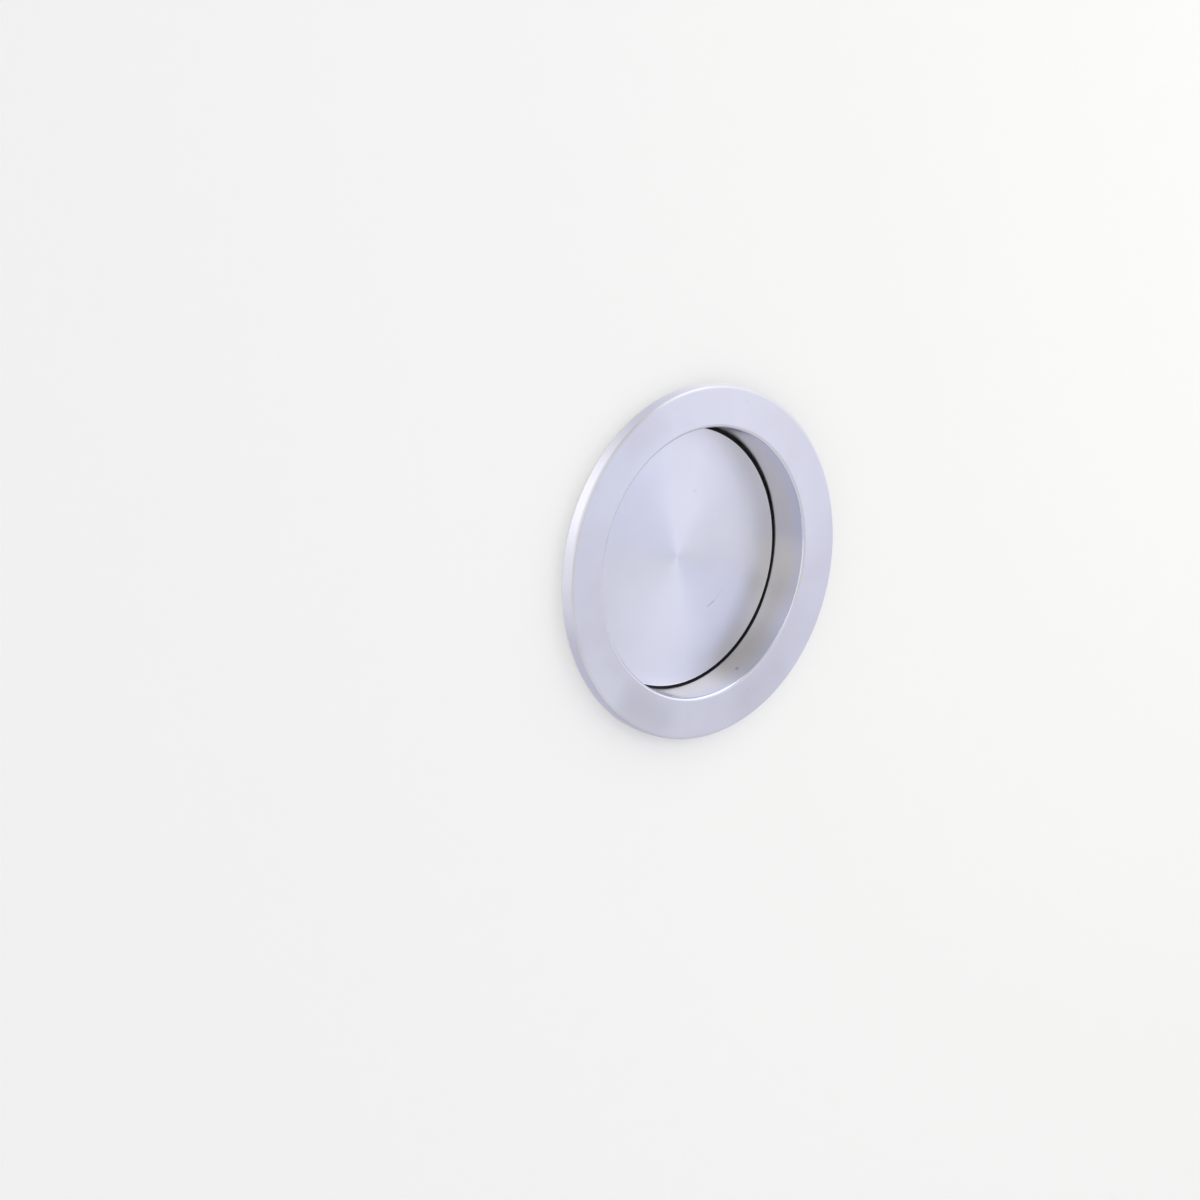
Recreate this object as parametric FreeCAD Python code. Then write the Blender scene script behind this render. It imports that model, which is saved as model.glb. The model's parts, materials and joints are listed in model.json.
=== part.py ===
import FreeCAD, Part
import math
import os

# Round flush pull for a pocket door, in millimetres.
# The pull's axis lies along Y and +Z is up. The front faces -Y, and the cup goes into the door towards +Y.
# The origin is on the axis, in the plane of the door's face.

# Pull body: the flange reaches past the cup by its overlap, which makes it 65 mm across.
# The recess loses its taper from the radius on the way from the lip to the disc.
opening_diameter = 49.7
opening_edge_chamfer = 0.45
recess_depth = 7.4
recess_taper = 0.54
cup_wall = 1.9
cup_back_chamfer = 0.8
floor_thickness = 2.0
flange_overlap = 5.75
flange_thickness = 2.7
flange_edge_round = 0.6

# Rubber ring in the channel round the disc
ring_width = 0.44
ring_height = 1.5
ring_set_back = 0.05

# Cover disc, which sits a little low in the cup because its rubber ring yields
disc_drop = 0.14
disc_edge_chamfer = 0.15
disc_shoulder_thickness = 1.05
disc_shoulder_clearance = 0.11

# Countersunk wood screws through the floor
screw_count = 2
screw_wall_distance = 9.31
screw_diameter = 3.5
screw_length = 12.0
screw_point_length = 3.2
screw_hole_clearance = 0.25
head_overhang = 1.65
head_angle = 90.0
head_rim_height = 0.15
head_sink = 0.2
cross_length = 3.7
cross_width = 0.9
cross_depth = 1.5
cross_taper_angle = 26.0

# Radii that follow from the sizes above
opening_radius = opening_diameter / 2
cup_radius = opening_radius + cup_wall
flange_radius = cup_radius + flange_overlap
ring_seat_radius = opening_radius - recess_taper
disc_radius = ring_seat_radius - ring_width
disc_shoulder_radius = ring_seat_radius - disc_drop - disc_shoulder_clearance
screw_circle_radius = ring_seat_radius - screw_wall_distance
screw_radius = screw_diameter / 2
screw_hole_radius = screw_radius + screw_hole_clearance
head_radius = screw_radius + head_overhang
head_slope = math.tan(math.radians(head_angle / 2))

# Planes across the axis, from the front to the screws' points
door_face = 0.0
front_face = door_face - flange_thickness
disc_face = front_face + recess_depth
ring_face = disc_face + ring_set_back
ring_back = ring_face + ring_height
floor_face = ring_back + disc_shoulder_thickness
back_face = floor_face + floor_thickness
head_face = floor_face + head_sink
head_cone_start = head_face + head_rim_height
screw_tip = head_face + screw_length

pull_axis = FreeCAD.Vector(0, 1, 0)


def corner_points(before, corner, after, radius):
    """The corner itself, or the start, middle and end of the arc that rounds it."""
    if radius == 0.0:
        return [corner]
    back = (before - corner).normalize()
    ahead = (after - corner).normalize()
    half_angle = back.getAngle(ahead) / 2
    inward = (back + ahead).normalize()
    tangent_length = radius / math.tan(half_angle)
    middle_distance = radius / math.sin(half_angle) - radius
    start = corner + back * tangent_length
    middle = corner + inward * middle_distance
    end = corner + ahead * tangent_length
    return [start, middle, end]


def turned(outline, centre_x=0.0, centre_z=0.0):
    """Solid turned about an axis along Y, from a closed outline of (radius, y) corners.

    A third value at a corner is the radius that rounds it.
    """
    points = [FreeCAD.Vector(corner[0], corner[1], 0) for corner in outline]
    rounds = [corner[2] if len(corner) > 2 else 0.0 for corner in outline]
    following = points[1:] + points[:1]
    corners = [corner_points(points[i - 1], points[i], following[i], rounds[i]) for i in range(len(points))]
    edges = []
    for corner, next_corner in zip(corners, corners[1:] + corners[:1]):
        if len(corner) == 3:
            edges.append(Part.Arc(*corner).toShape())
        edges.append(Part.makeLine(corner[-1], next_corner[0]))
    face = Part.Face(Part.Wire(edges))
    solid = face.revolve(FreeCAD.Vector(0, 0, 0), pull_axis, 360)
    solid.translate(FreeCAD.Vector(centre_x, 0, centre_z))
    return solid


def screw_places():
    """Centres (x, z) of the screws, evenly spaced on their circle from the top."""
    radius = screw_circle_radius
    angles = [math.pi / 2 + 2 * math.pi * i / screw_count for i in range(screw_count)]
    return [(radius * math.cos(angle), radius * math.sin(angle)) for angle in angles]


def screw_hole(x, z):
    """Countersunk hole through the floor. Its cone continues the cone of the screw's head."""
    mouth_radius = head_radius + (head_cone_start - floor_face) * head_slope
    cone_end = head_cone_start + (head_radius - screw_hole_radius) / head_slope
    return turned([
        (0, floor_face),
        (mouth_radius, floor_face),
        (screw_hole_radius, cone_end),
        (screw_hole_radius, back_face),
        (0, back_face),
    ], x, z)


def make_pull_body():
    """Flange, tapered cup and floor turned from one bar, with a countersunk hole for each screw."""
    edge_radius = opening_radius - recess_taper * opening_edge_chamfer / recess_depth
    body = turned([
        (0, floor_face),
        (ring_seat_radius, floor_face),
        (ring_seat_radius, disc_face),
        (edge_radius, front_face + opening_edge_chamfer),
        (opening_radius + opening_edge_chamfer, front_face),
        (flange_radius, front_face, flange_edge_round),
        (flange_radius, door_face),
        (cup_radius, door_face),
        (cup_radius, back_face - cup_back_chamfer),
        (cup_radius - cup_back_chamfer, back_face),
        (0, back_face),
    ])
    for x, z in screw_places():
        body = body.cut(screw_hole(x, z))
    return body


def make_cover_disc():
    """Disc that rests on the floor, with a chamfered face and a shoulder behind the rubber ring."""
    return turned([
        (0, disc_face),
        (disc_radius - disc_edge_chamfer, disc_face),
        (disc_radius, disc_face + disc_edge_chamfer),
        (disc_radius, ring_back),
        (disc_shoulder_radius, ring_back),
        (disc_shoulder_radius, floor_face),
        (0, floor_face),
    ], centre_z=-disc_drop)


def make_seal_ring():
    """Rubber ring squeezed between the cup's wall and the disc, thinner below where the disc sits low."""
    outside = Part.makeCylinder(ring_seat_radius, ring_height, FreeCAD.Vector(0, ring_face, 0), pull_axis)
    bore = Part.makeCylinder(disc_radius, ring_height, FreeCAD.Vector(0, ring_face, -disc_drop), pull_axis)
    return outside.cut(bore)


def cross_recess(x, z):
    """Driver recess in a screw's head: two crossed slots that get shorter with depth."""
    half_length = cross_length / 2
    end_half_length = half_length - cross_depth * math.tan(math.radians(cross_taper_angle))
    bottom = head_face + cross_depth
    top_corners = [(-half_length, head_face), (half_length, head_face)]
    bottom_corners = [(end_half_length, bottom), (-end_half_length, bottom)]
    corners = [FreeCAD.Vector(along, y, -cross_width / 2) for along, y in top_corners + bottom_corners]
    level = Part.Face(Part.makePolygon(corners + corners[:1])).extrude(FreeCAD.Vector(0, 0, cross_width))
    upright = level.copy()
    upright.rotate(FreeCAD.Vector(0, 0, 0), pull_axis, 90)
    recess = level.fuse(upright)
    recess.translate(FreeCAD.Vector(x, 0, z))
    return recess


def make_screw(x, z):
    """Countersunk wood screw, its shank at the thread's outer size, with a pointed end."""
    cone_end = head_cone_start + head_overhang / head_slope
    blank = turned([
        (0, head_face),
        (head_radius, head_face),
        (head_radius, head_cone_start),
        (screw_radius, cone_end),
        (screw_radius, screw_tip - screw_point_length),
        (0, screw_tip),
    ], x, z)
    return blank.cut(cross_recess(x, z))


def make_fixing_screws():
    """The screws as separate solids in one group."""
    return Part.makeCompound([make_screw(x, z) for x, z in screw_places()])


nodes = {
    "pull_body": make_pull_body(),
    "cover_disc": make_cover_disc(),
    "seal_ring": make_seal_ring(),
    "fixing_screws": make_fixing_screws(),
}

os.makedirs("parts", exist_ok=True)
for name, shape in nodes.items():
    shape.exportStep("parts/" + name + ".step")
    print(name, "valid", shape.isValid(), "solids", len(shape.Solids), "volume mm3", round(shape.Volume, 3))
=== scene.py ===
import json
import math

import bpy
import numpy as np
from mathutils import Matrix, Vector


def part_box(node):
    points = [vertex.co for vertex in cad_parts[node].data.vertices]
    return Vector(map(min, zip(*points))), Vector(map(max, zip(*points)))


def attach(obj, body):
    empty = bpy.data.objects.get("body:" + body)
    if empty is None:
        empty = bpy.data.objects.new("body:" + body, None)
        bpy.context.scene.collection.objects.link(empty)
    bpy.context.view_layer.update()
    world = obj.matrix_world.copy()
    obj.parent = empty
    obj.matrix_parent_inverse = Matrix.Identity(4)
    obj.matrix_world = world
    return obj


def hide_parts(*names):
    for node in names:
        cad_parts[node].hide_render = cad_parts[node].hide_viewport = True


# Round flush pull for a pocket door.
# The pull's axis lies along Y, the front faces -Y and +Z is up.
# Sizes are in millimetres until a mesh is made.

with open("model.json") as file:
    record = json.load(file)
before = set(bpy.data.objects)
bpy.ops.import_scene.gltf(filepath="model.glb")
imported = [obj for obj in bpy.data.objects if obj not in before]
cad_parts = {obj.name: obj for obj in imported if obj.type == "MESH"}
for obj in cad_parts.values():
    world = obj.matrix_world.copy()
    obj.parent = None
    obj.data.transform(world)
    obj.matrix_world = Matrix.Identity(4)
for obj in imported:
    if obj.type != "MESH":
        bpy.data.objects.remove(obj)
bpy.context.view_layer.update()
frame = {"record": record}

MM = 0.001
ROUND_STEPS = 512
SCREW_STEPS = 96
SHARP_EDGE = math.radians(32)

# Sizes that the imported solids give
body_low, body_high = [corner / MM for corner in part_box("pull_body")]
disc_low, disc_high = [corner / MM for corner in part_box("cover_disc")]
ring_low, ring_high = [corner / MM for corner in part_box("seal_ring")]
screw_low, screw_high = [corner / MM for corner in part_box("fixing_screws")]
mounts = {mount["name"]: mount for mount in frame["record"]["mounts"]}

flange_radius = body_high.x
front_face = body_low.y
back_face = body_high.y
cup_radius = mounts["door_pocket"]["dims"]["r_mm"]
ring_seat_radius = ring_high.x
disc_face = disc_low.y
floor_face = disc_high.y
disc_shoulder_radius = disc_high.x
ring_face = ring_low.y
ring_back = ring_high.y
head_face = screw_low.y
screw_tip = screw_high.y
head_radius = screw_high.x
screw_radius = mounts["screw_shanks"]["dims"]["stud_r_mm"]
screw_height = mounts["screw_shanks"]["dims"]["pcd_mm"] / 2

# Sizes that the boxes of the solids don't give, and small forms that the solids leave out
disc_radius = 23.87
disc_drop = 0.14
disc_lip_width = 0.2
disc_lip_height = 0.03
flange_edge_round = 0.6
flange_back_round = 0.3
opening_radius = 24.85
opening_edge_round = 0.62
cup_back_chamfer = 0.8
ring_bulge = 0.05
ring_climb = 0.52
screw_hole_clearance = 0.25
thread_pitch = 1.3
thread_depth = 0.55
thread_start = 0.65
thread_run_in = 0.9
ridge_half_width = 0.27
screw_point_length = 3.2
head_rim_height = 0.15
cross_length = 3.7
cross_width = 0.9
cross_depth = 1.5
cross_side_lean = 0.1
cross_end_slope = 0.49

# The photo's view, measured on its 1200 pixel frame
view_azimuth = -43.18
view_elevation = 13.4
view_distance = 1500.0
picture_size = 1200
pixels_per_mm = 5.535
flange_right_of_middle = 104.6
flange_above_middle = 37.3

# Room light: the plain colour seen behind the panel, the light's colours from below and above,
# then patches with their direction, tint and reach in degrees, and the full core of a patch
plain_background = (0.90, 0.90, 0.90, 1.0)
light_from_below = (0.59, 0.59, 0.69, 1.0)
light_from_above = (1.12, 1.12, 1.12, 1.0)
front_top = ((0.0, -0.53, 0.85), (0.69, 0.68, 0.57), 40)
front_right = ((0.53, -0.85, 0.0), (0.69, 0.72, 0.95), 40)
front_left = ((-0.53, -0.85, 0.0), (0.75, 0.73, 0.59), 40)
low_left = ((-0.81, -0.50, -0.31), (1.16, 1.15, 1.15), 40)
overhead = ((-0.10, 0.05, 0.99), (0.62, 0.62, 0.66), 30)
back_top = ((0.30, 0.71, 0.63), (0.66, 0.66, 0.76), 26)
room_patches = (front_top, front_right, front_left, low_left, overhead, back_top)
patch_core = 3


# Shapes

def rounded_outline(corners, arc_steps=10, shoulder=0.03):
    """Points (radius, y) along an outline of (radius, y, round) corners.

    A round q at a corner whose sides meet at the angle w starts q / tan(w / 2) from the corner,
    and its arc turns about the point that lies q / sin(w / 2) from the corner on the bisector.
    A point on each side of the arc, one shoulder away, keeps the shading of the flats flat.
    """
    places = np.array([corner[:2] for corner in corners], float)
    rounds = [corner[2] if len(corner) > 2 else 0.0 for corner in corners]
    share = np.linspace(0.0, 1.0, arc_steps + 1)[:, None]
    runs = [places[:1]]
    for before, corner, after, size in zip(places, places[1:], places[2:], rounds[1:]):
        if size == 0.0:
            runs.append(corner[None, :])
            continue
        back = (before - corner) / np.linalg.norm(before - corner)
        ahead = (after - corner) / np.linalg.norm(after - corner)
        meeting = np.arccos(np.clip(back @ ahead, -1.0, 1.0))
        start = corner + back * size / np.tan(meeting / 2)
        end = corner + ahead * size / np.tan(meeting / 2)
        middle = corner + (back + ahead) / np.linalg.norm(back + ahead) * size / np.sin(meeting / 2)
        turn = np.pi - meeting
        arc = np.sin((1 - share) * turn) * (start - middle) + np.sin(share * turn) * (end - middle)
        runs.append((start + back * shoulder)[None, :])
        runs.append(middle + arc / np.sin(turn))
        runs.append((end + ahead * shoulder)[None, :])
    runs.append(places[-1:])
    return np.vstack(runs)


def outline_length(outline):
    """Distance along an outline from its first point to each point."""
    steps = np.linalg.norm(np.diff(outline, axis=0), axis=1)
    return np.concatenate([[0.0], np.cumsum(steps)])


def turned_grid(outline, centre_x=0.0, centre_z=0.0, steps=ROUND_STEPS):
    """An outline carried round an axis along Y.

    At the angle a the point (radius, y) lies at (radius cos a, y, radius sin a) from the centre.
    """
    angle = np.arange(steps) * (2 * np.pi / steps)
    radius = outline[:, :1]
    x = centre_x + radius * np.cos(angle)
    y = np.repeat(outline[:, 1:2], steps, axis=1)
    z = centre_z + radius * np.sin(angle)
    return np.stack([x, y, z], axis=2)


def grid_faces(index, close_rows=False):
    """Faces of a grid of vertex numbers whose columns go round.

    They face along the cross product of the row direction and the column direction.
    """
    rows = np.vstack([index, index[:1]]) if close_rows else index
    here = rows
    beside = np.roll(rows, -1, axis=1)
    corners = [here[:-1], here[1:], beside[1:], beside[:-1]]
    return np.stack(corners, axis=2).reshape(-1, 4)


def number_grid(rows, columns, first=0):
    """Vertex numbers of a grid that is stored row by row."""
    return first + np.arange(rows * columns).reshape(rows, columns)


def pole_faces(pole, ring, at_end):
    """Triangles between a pole and the ring next to it."""
    following = np.roll(ring, -1)
    poles = np.full_like(ring, pole)
    order = [ring, poles, following] if at_end else [poles, ring, following]
    return np.stack(order, axis=1)


def make_piece(name, points, faces, attributes):
    """Mesh object from points in millimetres and lists of faces.

    Each attribute gives one number per vertex.
    """
    mesh = bpy.data.meshes.new(name)
    face_list = [face for group in faces for face in group.tolist()]
    mesh.from_pydata((points * MM).tolist(), [], face_list)
    for label, values in attributes.items():
        layer = mesh.attributes.new(label, "FLOAT", "POINT")
        layer.data.foreach_set("value", np.ascontiguousarray(values, np.float32))
    mesh.shade_smooth()
    mesh.set_sharp_from_angle(angle=SHARP_EDGE)
    mesh.validate()
    piece = bpy.data.objects.new(name, mesh)
    bpy.context.scene.collection.objects.link(piece)
    return piece


def holed_half_plate(edge, edge_numbers, hole_centre, hole_radius, y, first, rows):
    """Half of a flat plate with one round hole.

    Straight rays run from each point of the half's edge towards the hole's centre and stop at the
    hole's rim, and the points divide them evenly.
    """
    inward = hole_centre - edge
    reach = np.linalg.norm(inward, axis=1, keepdims=True)
    rim = hole_centre - inward / reach * hole_radius
    share = np.linspace(0.0, 1.0, rows + 1)[1:, None, None]
    flat = edge + (rim - edge) * share
    points = np.stack([flat[:, :, 0], np.full(flat.shape[:2], y), flat[:, :, 1]], axis=2)
    numbers = number_grid(rows, len(edge), first)
    return points.reshape(-1, 3), np.vstack([edge_numbers, numbers])


def body_masks(points, radius, skin_count):
    """Masks that tell the body's finish where the pocket side, the lip, the rim and the recess are.

    The skin's points come first, and all that follow belong to the floor. The lip and the rim fade out
    round a point that lies just inside their corner.
    """
    y = points[:, 1]
    pocket_lead = 0.15
    pocket_fade = 0.1
    pocket_side = np.clip((y + pocket_lead) / pocket_fade, 0.0, 1.0) * (radius > opening_radius + 0.5)
    pocket_side[skin_count:] = 1.0

    inset = 0.2
    lip_reach = 0.45
    rim_reach = 0.5
    lip = np.hypot(radius - opening_radius - inset, y - front_face - inset)
    rim = np.hypot(radius - flange_radius + inset, y - front_face - inset)

    bore_margin = 0.4
    bore_fade = 0.3
    tolerance = 0.01
    bore_wall = np.clip((opening_radius + bore_margin - radius) / bore_fade, 0.0, 1.0)
    return {
        "pocket_side": pocket_side,
        "lip_edge": np.exp(-(lip / lip_reach) ** 2),
        "rim_edge": np.exp(-(rim / rim_reach) ** 2),
        "bore_wall": bore_wall * (y < floor_face + tolerance),
    }


def make_pull_body():
    """Flange, cup and floor as one closed skin.

    The outline from the floor's corner over the lip, flange and rim to the cup's back is carried round
    the axis. The two faces of the floor are plates of rays to the screw holes, and a cone and a bore
    join the holes' rims.
    """
    chamfer_radius = cup_radius - cup_back_chamfer
    outline = rounded_outline([
        (ring_seat_radius, floor_face),
        (ring_seat_radius, disc_face, 0.3),
        (opening_radius, front_face, opening_edge_round),
        (flange_radius, front_face, flange_edge_round),
        (flange_radius, 0.0, flange_back_round),
        (cup_radius, 0.0, 0.2),
        (cup_radius, back_face - cup_back_chamfer, 0.2),
        (chamfer_radius, back_face, 0.2),
        (chamfer_radius - 1.0, back_face),
    ])
    length = outline_length(outline)
    skin = turned_grid(outline)
    skin_numbers = number_grid(len(outline), ROUND_STEPS)
    points = [skin.reshape(-1, 3)]
    faces = [grid_faces(skin_numbers)]
    count = len(points[0])

    hole_radius = screw_radius + screw_hole_clearance
    cone_start = head_face + head_rim_height
    mouth_radius = head_radius + cone_start - floor_face
    cone_end = cone_start + head_radius - hole_radius
    half = ROUND_STEPS // 2
    rows = 6
    seam_points = 130
    rims = {}
    for y, row, radius in ((floor_face, 0, mouth_radius), (back_face, len(outline) - 1, hole_radius)):
        ring = skin[row]
        ring_numbers = skin_numbers[row]
        across = np.linspace(ring[half, 0], ring[0, 0], seam_points)[1:-1]
        middle = np.stack([across, np.full_like(across, y), np.zeros_like(across)], axis=1)
        middle_numbers = count + np.arange(len(middle))
        points.append(middle)
        count += len(middle)
        upper = np.concatenate([ring_numbers[:half + 1], middle_numbers])
        lower = np.concatenate([ring_numbers[half:], ring_numbers[:1], middle_numbers[::-1]])
        for edge_numbers, height in ((upper, screw_height), (lower, -screw_height)):
            edge = np.vstack(points)[edge_numbers][:, [0, 2]]
            centre = np.array([0.0, height])
            plate, numbers = holed_half_plate(edge, edge_numbers, centre, radius, y, count, rows)
            points.append(plate)
            count += len(plate)
            rims[y, height] = numbers[-1]
            towards_front = grid_faces(numbers[::-1])
            faces.append(towards_front if y == floor_face else towards_front[:, ::-1])
    for height in (screw_height, -screw_height):
        front_rim = rims[floor_face, height]
        back_rim = rims[back_face, height]
        bore = np.vstack(points)[back_rim]
        bore[:, 1] = cone_end
        bore_numbers = count + np.arange(len(bore))
        points.append(bore)
        count += len(bore)
        faces.append(grid_faces(np.vstack([back_rim, bore_numbers, front_rim])))

    points = np.vstack(points)
    radius = np.hypot(points[:, 0], points[:, 2])
    turning = length[-1] + outline[-1, 0] - radius
    turning[:skin_numbers.size] = np.repeat(length, ROUND_STEPS)
    attributes = {"turning": turning, **body_masks(points, radius, skin_numbers.size)}
    return make_piece("pull_body_turned", points, faces, attributes)


def make_cover_disc():
    """Disc turned from its outline.

    The outline has a flat face, a low lip with a slope to the inside, the rim and the shoulder.
    """
    lip_start = disc_radius - disc_lip_width
    lip_face = disc_face - disc_lip_height
    slope_share = 0.45
    lip_top = lip_start + disc_lip_width * slope_share
    pole_ring = 0.6
    outline = rounded_outline([
        (pole_ring, disc_face),
        (lip_start, disc_face, 0.05),
        (lip_top, lip_face, 0.04),
        (disc_radius, lip_face, 0.09),
        (disc_radius, ring_back, 0.03),
        (disc_shoulder_radius, ring_back, 0.05),
        (disc_shoulder_radius, floor_face, 0.1),
        (pole_ring, floor_face),
    ], arc_steps=6, shoulder=0.012)
    grid = turned_grid(outline, centre_z=-disc_drop)
    numbers = number_grid(len(outline), ROUND_STEPS)
    poles = np.array([[0.0, disc_face, -disc_drop], [0.0, floor_face, -disc_drop]])
    points = np.vstack([grid.reshape(-1, 3), poles])
    first_pole = len(points) - 2
    faces = [
        grid_faces(numbers),
        pole_faces(first_pole, numbers[0], at_end=False),
        pole_faces(first_pole + 1, numbers[-1], at_end=True),
    ]
    length = outline_length(outline) + pole_ring
    turning = np.concatenate([np.repeat(length, ROUND_STEPS), [0.0, length[-1] + pole_ring]])
    return make_piece("cover_disc_turned", points, faces, {"turning": turning})


def make_seal_ring():
    """Rubber ring whose section fills the gap between the disc's rim and the cup's wall.

    A section point (f, y) lies the share f of the way from the disc's rim to the wall, at the same
    angle on both circles. The disc's circle hangs lower than the wall's, so the ring is wider above
    than below. Below, where the gap is narrow, the rubber is squeezed up the wall: the front rises by
    the climb times f times the squeeze.
    """
    nominal = ring_seat_radius - disc_radius
    start = (0.5 * nominal, ring_face - ring_bulge)
    edge = 0.1
    section = rounded_outline([
        start,
        (nominal - edge, ring_face, 0.3),
        (nominal, ring_face + edge, 0.05),
        (nominal, ring_back, 0.08),
        (0.0, ring_back, 0.08),
        (0.0, ring_face + edge, 0.05),
        (edge, ring_face, 0.3),
        start,
    ], arc_steps=5, shoulder=0.01)[:-1]
    angle = np.arange(ROUND_STEPS) * (2 * np.pi / ROUND_STEPS)
    share = section[:, :1] / nominal
    inner_z = disc_radius * np.sin(angle) - disc_drop
    x = (disc_radius + nominal * share) * np.cos(angle)
    z = inner_z + (ring_seat_radius * np.sin(angle) - inner_z) * share
    squeeze_start = 0.15
    squeeze_span = 0.5
    squeeze = np.clip((-np.sin(angle) - squeeze_start) / squeeze_span, 0.0, 1.0)
    front = np.clip((ring_back - section[:, 1:]) / (ring_back - ring_face), 0.0, 1.0)
    y = section[:, 1:] - ring_climb * share * front * squeeze ** 2 * (3 - 2 * squeeze)
    points = np.stack([x, y, z], axis=2).reshape(-1, 3)
    numbers = number_grid(len(section), ROUND_STEPS)
    return make_piece("seal_ring_moulded", points, [grid_faces(numbers, close_rows=True)], {})


def cross_recess_depth(x, z):
    """Depth of the driver recess.

    It is full inside both slots and falls to nothing over their side and end walls.
    """
    near = np.minimum(np.abs(x), np.abs(z))
    far = np.maximum(np.abs(x), np.abs(z))
    side_wall = np.clip((cross_width / 2 - near) / cross_side_lean, 0.0, 1.0)
    end_wall = np.clip((cross_length / 2 - far) / (cross_depth * cross_end_slope), 0.0, 1.0)
    return cross_depth * side_wall * end_wall


def screw_skin(centre_z, steps, first):
    """Countersunk wood screw.

    The head is an outline carried round, its face sunk by the depth of the driver recess. Along the
    shank the radius is the core's plus a ridge that follows the helix y = pitch * turns, and both
    taper to the point.
    """
    cone_start = head_face + head_rim_height
    core_radius = screw_radius - thread_depth
    neck = cone_start + head_radius - screw_radius
    face_edge = cross_length / 2 + 0.1
    face_rows = 44
    face_radii = np.linspace(0.03, face_edge, face_rows)
    face = np.stack([face_radii, np.full_like(face_radii, head_face)], axis=1)
    side = rounded_outline([
        (cross_length / 2 + 0.2, head_face),
        (head_radius, head_face, 0.06),
        (head_radius, cone_start, 0.05),
        (screw_radius, neck, 0.4),
        (screw_radius - 0.02, neck + 0.6),
    ], arc_steps=4, shoulder=0.02)
    shank_rows = 190
    tip_radius = 0.02
    shank_y = np.linspace(neck + thread_start, screw_tip, shank_rows)
    taper = np.clip((screw_tip - shank_y) / screw_point_length, 0.0, 1.0)
    shank = np.stack([np.maximum(core_radius * taper, tip_radius), shank_y], axis=1)
    outline = np.vstack([face, side, shank])
    grid = turned_grid(outline, centre_z=centre_z, steps=steps)
    head = grid[:len(face)]
    head[:, :, 1] += cross_recess_depth(head[:, :, 0], head[:, :, 2] - centre_z)

    angle = np.arange(steps) * (2 * np.pi / steps)
    phase = np.mod(shank_y[:, None] / thread_pitch - angle / (2 * np.pi), 1.0)
    ridge = np.clip(1 - np.abs(phase - 0.5) / ridge_half_width, 0.0, 1.0)
    run_in = np.clip((shank_y - shank_y[0]) / thread_run_in, 0.0, 1.0)[:, None]
    full_height_until = 0.8
    crest_share = np.minimum(1.0, taper / full_height_until)[:, None]
    crest = thread_depth * crest_share * run_in
    neck_core = thread_depth * (1 - run_in)
    radius = shank[:, :1] + crest * ridge + neck_core
    threads = grid[len(face) + len(side):]
    threads[:, :, 0] = radius * np.cos(angle)
    threads[:, :, 2] = centre_z + radius * np.sin(angle)

    numbers = number_grid(len(outline), steps, first)
    poles = np.array([[0.0, head_face + cross_depth, centre_z], [0.0, screw_tip, centre_z]])
    points = np.vstack([grid.reshape(-1, 3), poles])
    last = first + len(points)
    faces = [
        grid_faces(numbers),
        pole_faces(last - 2, numbers[0], at_end=False),
        pole_faces(last - 1, numbers[-1], at_end=True),
    ]
    return points, faces


def make_fixing_screws():
    """The two screws, one above and one below the axis."""
    upper, upper_faces = screw_skin(screw_height, SCREW_STEPS, 0)
    lower, lower_faces = screw_skin(-screw_height, SCREW_STEPS, len(upper))
    return make_piece("fixing_screws_threaded", np.vstack([upper, lower]), upper_faces + lower_faces, {})


# Finishes

def add_node(tree, kind, inputs=None, **settings):
    """Adds a shader node. Inputs are numbers, or other nodes' outputs to link."""
    made = tree.nodes.new("ShaderNode" + kind)
    for name, value in settings.items():
        setattr(made, name, value)
    for socket, value in (inputs or {}).items():
        if isinstance(value, bpy.types.NodeSocket):
            tree.links.new(value, made.inputs[socket])
        else:
            made.inputs[socket].default_value = value
    return made


def calc(tree, operation, first, second=0.0, third=0.0, clamp=False):
    """Output of a Math node."""
    made = add_node(tree, "Math", {0: first, 1: second, 2: third}, operation=operation, use_clamp=clamp)
    return made.outputs["Value"]


def vector_calc(tree, operation, first, second=(0.0, 0.0, 0.0)):
    """Output of a Vector Math node that gives a vector."""
    made = add_node(tree, "VectorMath", {0: first, 1: second}, operation=operation)
    return made.outputs["Vector"]


def vector_number(tree, operation, first, second):
    """Output of a Vector Math node that gives a number."""
    made = add_node(tree, "VectorMath", {0: first, 1: second}, operation=operation)
    return made.outputs["Value"]


def between(tree, value, low, high, out_low=0.0, out_high=1.0):
    """A value's place between two limits, smoothly from one result to another."""
    inputs = {"Value": value, "From Min": low, "From Max": high, "To Min": out_low, "To Max": out_high}
    return add_node(tree, "MapRange", inputs, interpolation_type="SMOOTHSTEP").outputs["Result"]


def blend_colour(tree, share, first, second):
    """Mix of two colours."""
    made = add_node(tree, "Mix", data_type="RGBA")
    for socket, value in ((made.inputs[0], share), (made.inputs[6], first), (made.inputs[7], second)):
        if isinstance(value, bpy.types.NodeSocket):
            tree.links.new(value, socket)
        else:
            socket.default_value = value
    return made.outputs[2]


def noise(tree, place, scale, detail=2.0, roughness=0.5):
    """Value of a three-dimensional noise."""
    inputs = {"Vector": place, "Scale": scale, "Detail": detail, "Roughness": roughness}
    return add_node(tree, "TexNoise", inputs).outputs["Fac"]


def new_finish(name):
    """Empty material with its shader."""
    finish = bpy.data.materials.new(name)
    finish.use_nodes = True
    tree = finish.node_tree
    tree.nodes.clear()
    shader = add_node(tree, "BsdfPrincipled")
    add_node(tree, "OutputMaterial", {"Surface": shader.outputs["BSDF"]})
    return finish, tree, shader


def attribute(tree, name):
    """A number that the mesh carries at each vertex."""
    return add_node(tree, "Attribute", attribute_name=name).outputs["Fac"]


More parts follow.
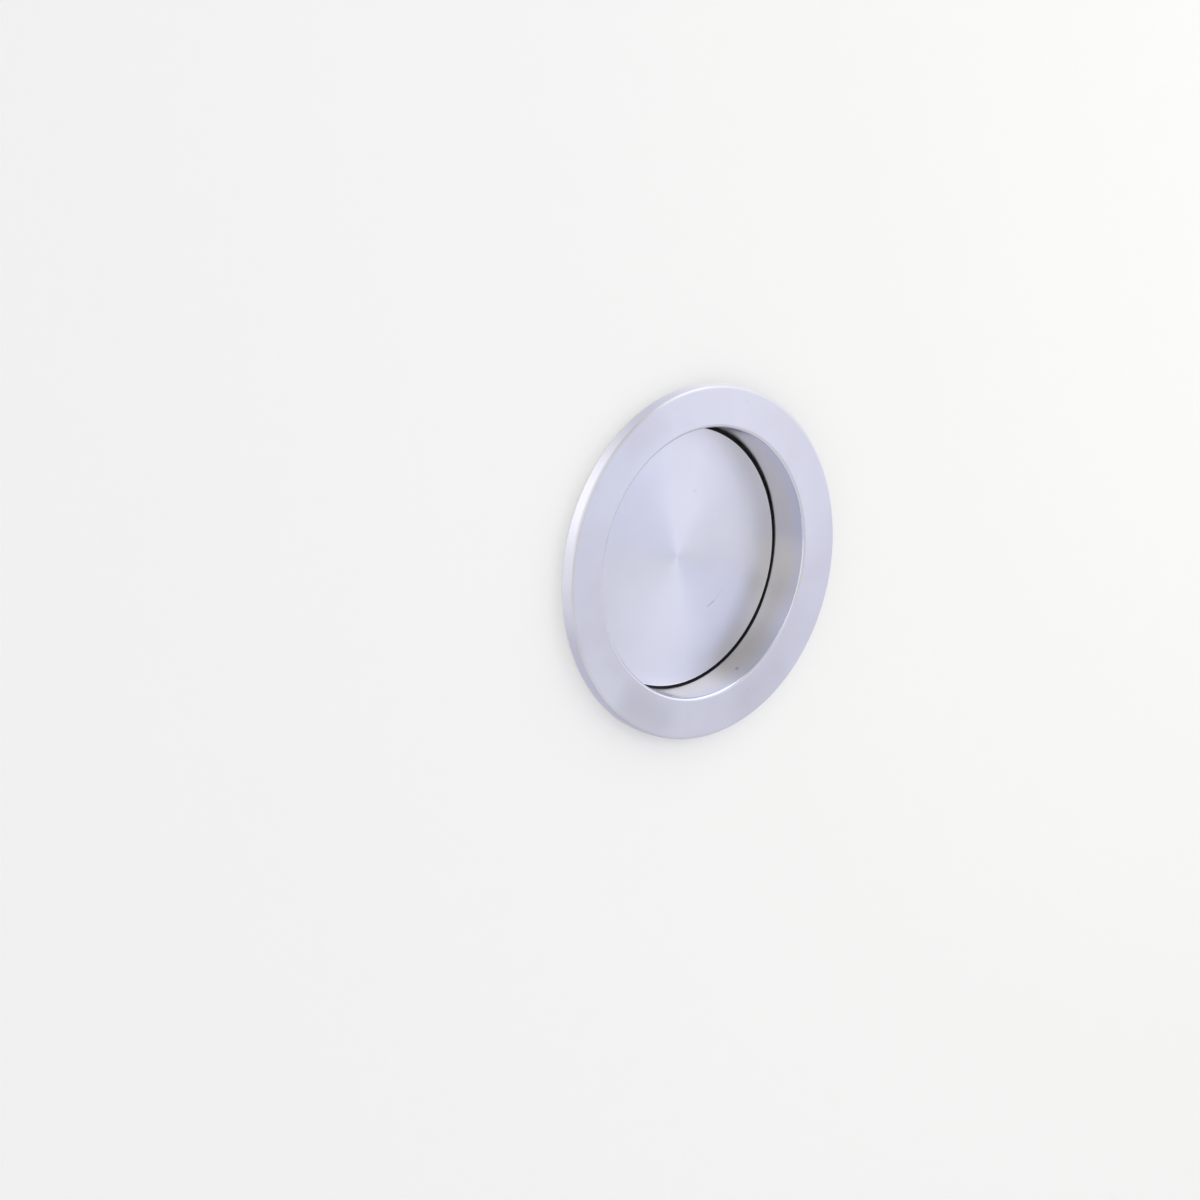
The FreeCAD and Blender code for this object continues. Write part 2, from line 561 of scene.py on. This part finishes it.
def turned_place(tree, place, turning, fineness, wander):
    """Place for a pattern of turning lines: quick along the outline, slow round the axis."""
    apart = add_node(tree, "SeparateXYZ", {"Vector": place})
    flat = add_node(tree, "CombineXYZ", {"X": apart.outputs["X"], "Z": apart.outputs["Z"]})
    around = vector_calc(tree, "NORMALIZE", flat.outputs["Vector"])
    around = vector_calc(tree, "MULTIPLY", around, (wander, 0.0, wander))
    along = calc(tree, "MULTIPLY", turning, fineness)
    lines = add_node(tree, "CombineXYZ", {"Y": along}).outputs["Vector"]
    return vector_calc(tree, "ADD", around, lines)


def turning_tangent(tree, place):
    """Direction round the pull's axis: the cross product of the axis and the place."""
    return vector_calc(tree, "CROSS_PRODUCT", (0.0, 1.0, 0.0), place)


def stroke(tree, place, start, end, width, core=0.6):
    """Mask of a mark on a face across the axis, between two points (x, z) in millimetres.

    The distance to the segment is that to the nearest point start + h (end - start), with h kept from
    0 to 1. The mark is full over the core's share of its width and fades out from there.
    """
    first = Vector((start[0], 0.0, start[1])) * MM
    run = Vector((end[0], 0.0, end[1])) * MM - first
    flat = vector_calc(tree, "MULTIPLY", place, (1.0, 0.0, 1.0))
    away = vector_calc(tree, "SUBTRACT", flat, first)
    along = vector_number(tree, "DOT_PRODUCT", away, run)
    share = calc(tree, "DIVIDE", along, run.length_squared, clamp=True)
    nearest = add_node(tree, "VectorMath", {0: run, "Scale": share}, operation="SCALE").outputs["Vector"]
    gap = vector_number(tree, "DISTANCE", away, nearest)
    return between(tree, gap, width * core / 2 * MM, width / 2 * MM, 1.0, 0.0)


def spot(tree, place, centre, width):
    """Mask of a small round mark about a point in millimetres."""
    gap = vector_number(tree, "DISTANCE", place, Vector(centre) * MM)
    return between(tree, gap, width * 0.2 * MM, width * 0.5 * MM, 1.0, 0.0)


def satin_metal():
    """Fine satin metal with a cool tint.

    It has an even grain round the axis, specks, painted shade that darkens the flange at the lower left,
    lower right and upper left, and coarser turning on the pocket side. The recess and its lip are
    smoother, and the recess's colour goes from cool at the lip to neutral at the disc, a painted
    reflection.
    """
    finish, tree, shader = new_finish("satin_metal")
    place = add_node(tree, "TexCoord").outputs["Object"]
    turning = attribute(tree, "turning")
    pocket_side = attribute(tree, "pocket_side")
    lip_edge = attribute(tree, "lip_edge")
    rim_edge = attribute(tree, "rim_edge")
    bore_wall = attribute(tree, "bore_wall")

    grain = noise(tree, turned_place(tree, place, turning, 9.0, 3.0), 1.0, 3.0, 0.6)
    tool_lines = noise(tree, turned_place(tree, place, turning, 3.2, 0.6), 1.0, 1.0)
    cloud = noise(tree, place, 70.0, 3.0)
    smear_and_painted_reflection = noise(tree, place, 210.0, 4.0, 0.6)

    tone = between(tree, cloud, 0.3, 0.7)
    colour = blend_colour(tree, tone, (0.650, 0.645, 0.720, 1.0), (0.690, 0.698, 0.780, 1.0))
    # Painted shade: broad darker patches on the flange at the lower left, lower right and upper left.
    lower_left_shade = stroke(tree, place, (-17.5, -23.3), (-11.0, -27.0), 13.0, core=0.0)
    lower_right_shade = stroke(tree, place, (11.0, -27.0), (17.5, -23.3), 13.0, core=0.0)
    upper_left_shade = stroke(tree, place, (-16.0, 24.3), (-12.0, 26.5), 11.0, core=0.0)
    painted_flange_shade = calc(tree, "MULTIPLY_ADD", lower_right_shade, 0.65, lower_left_shade)
    painted_flange_shade = calc(tree, "MULTIPLY_ADD", upper_left_shade, 0.4, painted_flange_shade)
    colour = blend_colour(tree, calc(tree, "MULTIPLY", painted_flange_shade, 0.7), colour, (0.55, 0.545, 0.60, 1.0))
    # Painted reflection: the recess wall's colour goes from cool near the lip to neutral near the disc.
    depth = add_node(tree, "SeparateXYZ", {"Vector": place}).outputs["Y"]
    reflection_start = -2.0 * MM
    reflection_end = 1.5 * MM
    reflection_share = between(tree, depth, reflection_start, reflection_end)
    bore_reflection_colour = blend_colour(tree, reflection_share, (0.655, 0.672, 0.790, 1.0), (0.700, 0.680, 0.700, 1.0))
    colour = blend_colour(tree, bore_wall, colour, bore_reflection_colour)
    bore_speck = spot(tree, place, (10.96, 0.3, -22.06), 1.1)
    upper_speck = spot(tree, place, (10.5, front_face, 28.3), 0.7)
    lower_speck = spot(tree, place, (10.75, front_face, -25.4), 0.7)
    specks = calc(tree, "MULTIPLY_ADD", upper_speck, 0.25, bore_speck)
    specks = calc(tree, "MULTIPLY_ADD", lower_speck, 0.25, specks)
    colour = blend_colour(tree, calc(tree, "MULTIPLY", specks, 0.55), colour, (0.26, 0.26, 0.28, 1.0))
    colour = blend_colour(tree, calc(tree, "MULTIPLY", pocket_side, 0.5), colour, (0.62, 0.62, 0.67, 1.0))
    tree.links.new(colour, shader.inputs["Base Color"])

    rough = calc(tree, "MULTIPLY_ADD", grain, 0.05, 0.30)
    rough = calc(tree, "MULTIPLY_ADD", smear_and_painted_reflection, 0.05, rough)
    rough = calc(tree, "MULTIPLY_ADD", lip_edge, -0.11, rough)
    rough = calc(tree, "MULTIPLY_ADD", rim_edge, 0.05, rough)
    rough = calc(tree, "MULTIPLY_ADD", bore_wall, -0.14, rough)
    rough = calc(tree, "MULTIPLY_ADD", pocket_side, 0.05, rough)
    tree.links.new(rough, shader.inputs["Roughness"])

    tool_height = calc(tree, "MULTIPLY", tool_lines, pocket_side)
    height = calc(tree, "MULTIPLY_ADD", tool_height, 20.0, grain)
    bump = add_node(tree, "Bump", {"Strength": 0.05, "Distance": 0.00001, "Height": height})
    tree.links.new(bump.outputs["Normal"], shader.inputs["Normal"])
    tree.links.new(turning_tangent(tree, place), shader.inputs["Tangent"])
    shader.inputs["Metallic"].default_value = 1.0
    shader.inputs["Anisotropic"].default_value = 0.35
    shader.inputs["Anisotropic Rotation"].default_value = 0.25
    return finish


def turned_metal():
    """Face-turned metal: fine circular lines that fan the light, with a few small marks from use."""
    finish, tree, shader = new_finish("turned_metal")
    object_place = add_node(tree, "TexCoord").outputs["Object"]
    place = vector_calc(tree, "ADD", object_place, (0.0, 0.0, disc_drop * MM))
    turning = attribute(tree, "turning")

    lines = noise(tree, turned_place(tree, place, turning, 12.0, 0.5), 1.0, 3.0, 0.6)
    sweep = noise(tree, turned_place(tree, place, turning, 0.35, 1.6), 1.0, 2.0)
    cloud = noise(tree, place, 90.0, 3.0)

    tone = between(tree, cloud, 0.3, 0.7)
    colour = blend_colour(tree, tone, (0.705, 0.711, 0.805, 1.0), (0.735, 0.741, 0.835, 1.0))
    deep = stroke(tree, place, (7.75, -10.5), (9.3, -9.7), 0.30)
    faint = stroke(tree, place, (9.3, -9.7), (11.5, -7.9), 0.2)
    tick = stroke(tree, place, (4.2, 11.5), (4.8, 11.6), 0.24)
    right_spot = spot(tree, place, (20.8, disc_face, 0.6), 0.6)
    upper_spot = spot(tree, place, (9.2, disc_face, 7.2), 0.5)
    marks = calc(tree, "MULTIPLY_ADD", faint, 0.35, deep)
    marks = calc(tree, "MULTIPLY_ADD", right_spot, 0.3, marks)
    marks = calc(tree, "MULTIPLY_ADD", upper_spot, 0.2, marks)
    marks = calc(tree, "MULTIPLY_ADD", tick, 0.6, marks, clamp=True)
    # Painted reflection: the disc is darkened towards the ring at its lower right, where it mirrors the
    # recess wall.
    smear_and_painted_reflection = stroke(tree, place, (12.0, -20.0), (19.0, -8.0), 9.0, core=0.0)
    colour = blend_colour(tree, calc(tree, "MULTIPLY", smear_and_painted_reflection, 0.24), colour, (0.36, 0.355, 0.36, 1.0))
    colour = blend_colour(tree, calc(tree, "MULTIPLY", marks, 0.5), colour, (0.33, 0.32, 0.34, 1.0))
    tree.links.new(colour, shader.inputs["Base Color"])

    rough = calc(tree, "MULTIPLY_ADD", lines, 0.02, 0.272)
    rough = calc(tree, "MULTIPLY_ADD", sweep, 0.03, rough)
    tree.links.new(rough, shader.inputs["Roughness"])

    height = calc(tree, "MULTIPLY_ADD", marks, -24.0, lines)
    bump = add_node(tree, "Bump", {"Strength": 0.013, "Distance": 0.00001, "Height": height})
    tree.links.new(bump.outputs["Normal"], shader.inputs["Normal"])
    tree.links.new(turning_tangent(tree, place), shader.inputs["Tangent"])
    shader.inputs["Metallic"].default_value = 1.0
    shader.inputs["Anisotropic"].default_value = 0.88
    shader.inputs["Anisotropic Rotation"].default_value = 0.25
    return finish


def black_rubber():
    """Matt black rubber with a fine moulded grain and a little dust."""
    finish, tree, shader = new_finish("black_rubber")
    place = add_node(tree, "TexCoord").outputs["Object"]
    grain = noise(tree, place, 5200.0, 3.0, 0.6)
    dust = noise(tree, place, 700.0, 4.0, 0.65)
    share = between(tree, dust, 0.45, 0.8, 0.0, 0.5)
    colour = blend_colour(tree, share, (0.007, 0.007, 0.008, 1.0), (0.022, 0.022, 0.024, 1.0))
    tree.links.new(colour, shader.inputs["Base Color"])
    tree.links.new(calc(tree, "MULTIPLY_ADD", dust, 0.25, 0.45), shader.inputs["Roughness"])
    bump = add_node(tree, "Bump", {"Strength": 0.25, "Distance": 0.00002, "Height": grain})
    tree.links.new(bump.outputs["Normal"], shader.inputs["Normal"])
    shader.inputs["Specular IOR Level"].default_value = 0.12
    return finish


def screw_steel():
    """Bright plated steel with a slightly uneven plating."""
    finish, tree, shader = new_finish("screw_steel")
    place = add_node(tree, "TexCoord").outputs["Object"]
    cloud = noise(tree, place, 420.0, 3.0)
    pits = noise(tree, place, 2600.0, 4.0, 0.65)
    tone = between(tree, cloud, 0.35, 0.7)
    colour = blend_colour(tree, tone, (0.55, 0.55, 0.57, 1.0), (0.63, 0.61, 0.57, 1.0))
    tree.links.new(colour, shader.inputs["Base Color"])
    rough = calc(tree, "MULTIPLY_ADD", pits, 0.22, 0.16)
    tree.links.new(rough, shader.inputs["Roughness"])
    bump = add_node(tree, "Bump", {"Strength": 0.15, "Distance": 0.00002, "Height": pits})
    tree.links.new(bump.outputs["Normal"], shader.inputs["Normal"])
    shader.inputs["Metallic"].default_value = 1.0
    return finish


# Pieces on the frame

def fit_piece(piece, node, finish):
    """Puts a piece in the place of a solid, with its finish."""
    piece.data.materials.append(finish)
    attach(piece, "root")
    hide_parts(node)


fit_piece(make_pull_body(), "pull_body", satin_metal())
fit_piece(make_cover_disc(), "cover_disc", turned_metal())
fit_piece(make_seal_ring(), "seal_ring", black_rubber())
fit_piece(make_fixing_screws(), "fixing_screws", screw_steel())


# Stage, light and camera

def make_wall_panel():
    """Flat round panel in the plane where the flange seats, with a hole for the cup.

    It is seen from the front only.
    """
    hole_gap = 0.4
    panel_radius = 1500.0
    set_back = 0.02
    rings = 40
    steps = 128
    radii = np.geomspace(cup_radius + hole_gap, panel_radius, rings)
    outline = np.stack([radii, np.full_like(radii, set_back)], axis=1)
    grid = turned_grid(outline, steps=steps)
    numbers = number_grid(rings, steps)
    panel = make_piece("wall_panel", grid.reshape(-1, 3), [grid_faces(numbers)], {})
    finish, tree, shader = new_finish("pale_panel")
    shader.inputs["Base Color"].default_value = (0.965, 0.965, 0.98, 1.0)
    shader.inputs["Roughness"].default_value = 1.0
    shader.inputs["Specular IOR Level"].default_value = 0.0
    behind = add_node(tree, "NewGeometry").outputs["Backfacing"]
    clear = add_node(tree, "BsdfTransparent")
    sides = add_node(tree, "MixShader", {0: behind, 1: shader.outputs["BSDF"], 2: clear.outputs["BSDF"]})
    output = next(node for node in tree.nodes if node.bl_idname == "ShaderNodeOutputMaterial")
    tree.links.new(sides.outputs["Shader"], output.inputs["Surface"])
    panel.data.materials.append(finish)
    panel.visible_diffuse = False
    panel.visible_glossy = False
    panel.visible_shadow = False


def make_floor():
    """Pale floor in front of the panel."""
    half_width = 1500.0
    reach = 1800.0
    drop = 420.0
    count = 7
    across = np.linspace(-half_width, half_width, count)
    out = np.linspace(-reach, 0.0, count)
    x, y = np.meshgrid(across, out)
    points = np.stack([x, y, np.full_like(x, -drop)], axis=2).reshape(-1, 3)
    numbers = number_grid(count, count)
    corners = [numbers[:-1, :-1], numbers[:-1, 1:], numbers[1:, 1:], numbers[1:, :-1]]
    faces = np.stack(corners, axis=2).reshape(-1, 4)
    floor = make_piece("studio_floor", points, [faces], {})
    finish, tree, shader = new_finish("pale_floor")
    shader.inputs["Base Color"].default_value = (0.85, 0.85, 0.85, 1.0)
    shader.inputs["Roughness"].default_value = 1.0
    shader.inputs["Specular IOR Level"].default_value = 0.0
    floor.data.materials.append(finish)


def add_soft_light(name, direction, distance, size, brightness, colour=(1.0, 1.0, 1.0)):
    """Rectangular lamp that faces the pull, its distance and size in metres.

    Its power is brightness * pi * area, so that brightness 1 mirrors as white.
    """
    lamp = bpy.data.lights.new(name, "AREA")
    lamp.shape = "RECTANGLE"
    width, height = size
    lamp.size = width
    lamp.size_y = height
    lamp.energy = brightness * math.pi * width * height
    lamp.color = colour
    holder = bpy.data.objects.new(name, lamp)
    towards = Vector(direction).normalized()
    holder.location = towards * distance
    holder.rotation_euler = (-towards).to_track_quat("-Z", "Y").to_euler()
    bpy.context.scene.collection.objects.link(holder)


def light_room():
    """Even pale light from all sides, dimmer and cooler from below, with a few wide patches.

    A patch is at its full tint in its own direction and fades out smoothly up to its reach. The camera
    sees a plain pale background.
    """
    world = bpy.data.worlds.new("studio")
    world.use_nodes = True
    tree = world.node_tree
    tree.nodes.clear()
    direction = add_node(tree, "TexCoord").outputs["Generated"]
    height = add_node(tree, "SeparateXYZ", {"Vector": direction}).outputs["Z"]
    low_end = -0.95
    high_end = 0.1
    share = between(tree, height, low_end, high_end)
    colour = blend_colour(tree, share, light_from_below, light_from_above)
    full = math.cos(math.radians(patch_core))
    for towards, tint, reach in room_patches:
        facing = vector_number(tree, "DOT_PRODUCT", direction, towards)
        share = between(tree, facing, math.cos(math.radians(reach)), full)
        tinted = vector_calc(tree, "MULTIPLY", colour, tint)
        colour = blend_colour(tree, share, colour, tinted)
    seen = add_node(tree, "LightPath").outputs["Is Camera Ray"]
    colour = blend_colour(tree, seen, colour, plain_background)
    background = add_node(tree, "Background", {"Color": colour, "Strength": 1.0})
    add_node(tree, "OutputWorld", {"Surface": background.outputs["Background"]})
    bpy.context.scene.world = world


def add_camera():
    """Camera at the photo's angle.

    It aims beside the flange, so that the flange stands where the photo has it.
    """
    azimuth = math.radians(view_azimuth)
    elevation = math.radians(view_elevation)
    level = math.cos(elevation)
    back = Vector((math.sin(azimuth) * level, -math.cos(azimuth) * level, math.sin(elevation)))
    right = Vector((math.cos(azimuth), math.sin(azimuth), 0.0))
    up = back.cross(right)
    flange_middle = Vector((0.0, front_face, 0.0))
    aim = flange_middle - (right * flange_right_of_middle + up * flange_above_middle) / pixels_per_mm
    place = flange_middle + back * view_distance
    data = bpy.data.cameras.new("photo_view")
    data.sensor_width = 36.0
    data.lens = data.sensor_width * pixels_per_mm * view_distance / picture_size
    data.clip_start = 0.01
    camera = bpy.data.objects.new("photo_view", data)
    camera.location = place * MM
    camera.rotation_euler = (aim - place).to_track_quat("-Z", "Y").to_euler()
    bpy.context.scene.collection.objects.link(camera)
    bpy.context.scene.camera = camera


make_wall_panel()
make_floor()
light_room()
add_soft_light(
    "low_key_light", direction=(0.73, -0.68, -0.03), distance=0.25, size=(0.13, 0.10), brightness=0.3,
)
add_soft_light(
    "key_light", direction=(0.76, -0.59, 0.26), distance=0.30, size=(0.16, 0.16), brightness=0.4,
    colour=(1.0, 1.0, 0.35),
)
add_soft_light(
    "top_light", direction=(0.50, -0.31, 0.81), distance=0.50, size=(0.30, 0.30), brightness=0.85,
    colour=(1.0, 1.0, 0.88),
)
add_soft_light(
    "rim_light", direction=(-0.50, 0.71, 0.43), distance=0.60, size=(0.36, 0.36), brightness=0.45,
)
add_camera()
bpy.context.scene.view_settings.view_transform = "Standard"
